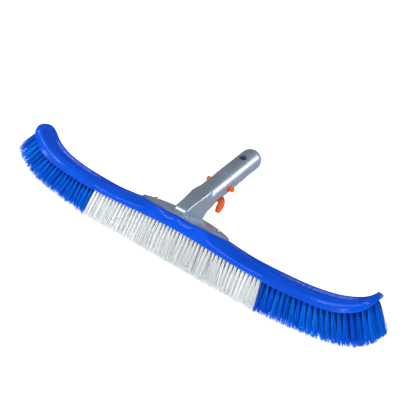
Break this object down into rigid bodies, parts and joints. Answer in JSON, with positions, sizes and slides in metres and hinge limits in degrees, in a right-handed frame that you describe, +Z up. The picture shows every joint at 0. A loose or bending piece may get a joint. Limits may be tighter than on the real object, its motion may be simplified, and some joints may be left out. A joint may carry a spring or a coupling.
{
  "type": "pool wall brush",
  "caption": "Curved pool wall brush: moulded back with bristle rows, a cast tilted handle socket and a sprung pole clip.",
  "frame": {"origin": "Middle of the brush's length and width, in the plane of the straight bristles' tips.", "axes": "+X along the brush to its right end seen from the front, +Y towards the side the handle leans to, +Z up out of the bristles through the back."},
  "size_m": [0.5018, 0.1563, 0.1396],
  "materials": {
    "blue_plastic": "glossy",
    "cast_aluminium": "satin, as cast",
    "steel": "satin",
    "orange_plastic": "semi-gloss",
    "blue_bristle": "satin",
    "white_bristle": "satin",
    "wire": "drawn wire"
  },
  "bodies": {
    "brush": {"brush_body": "blue_plastic", "handle_casting": "cast_aluminium", "plate_screws": "steel", "clip_bow": "orange_plastic", "bristles_left_row_1": "blue_bristle", "bristles_left_row_2": "blue_bristle", "bristles_left_row_3": "blue_bristle", "bristles_left_row_4": "blue_bristle", "bristles_left_row_5": "blue_bristle", "bristles_white_row_1": "white_bristle", "bristles_white_row_2": "white_bristle", "bristles_white_row_3": "white_bristle", "bristles_white_row_4": "white_bristle", "bristles_white_row_5": "white_bristle", "bristles_right_row_1": "blue_bristle", "bristles_right_row_2": "blue_bristle", "bristles_right_row_3": "blue_bristle", "bristles_right_row_4": "blue_bristle", "bristles_right_row_5": "blue_bristle", "tuft_anchors_left": "wire", "tuft_anchors_white": "wire", "tuft_anchors_right": "wire"},
    "arm_left": {"clip_arm_left": "orange_plastic"},
    "arm_right": {"clip_arm_right": "orange_plastic"}
  },
  "joints": [
    {"name": "clip_left_squeeze", "type": "hinge", "parent": "brush", "child": "arm_left", "pos_m": [-0.0055, 0.09344, 0.11064], "axis": [0, -0.4848, 0.8746], "range_deg": [0, 7.8], "stiffness_Nm_per_rad": 1.2, "springref_deg": -11.46},
    {"name": "clip_right_squeeze", "type": "hinge", "parent": "brush", "child": "arm_right", "pos_m": [0.0055, 0.09344, 0.11064], "axis": [0, 0.4848, -0.8746], "range_deg": [0, 7.8], "stiffness_Nm_per_rad": 1.2, "springref_deg": -11.46}
  ]
}
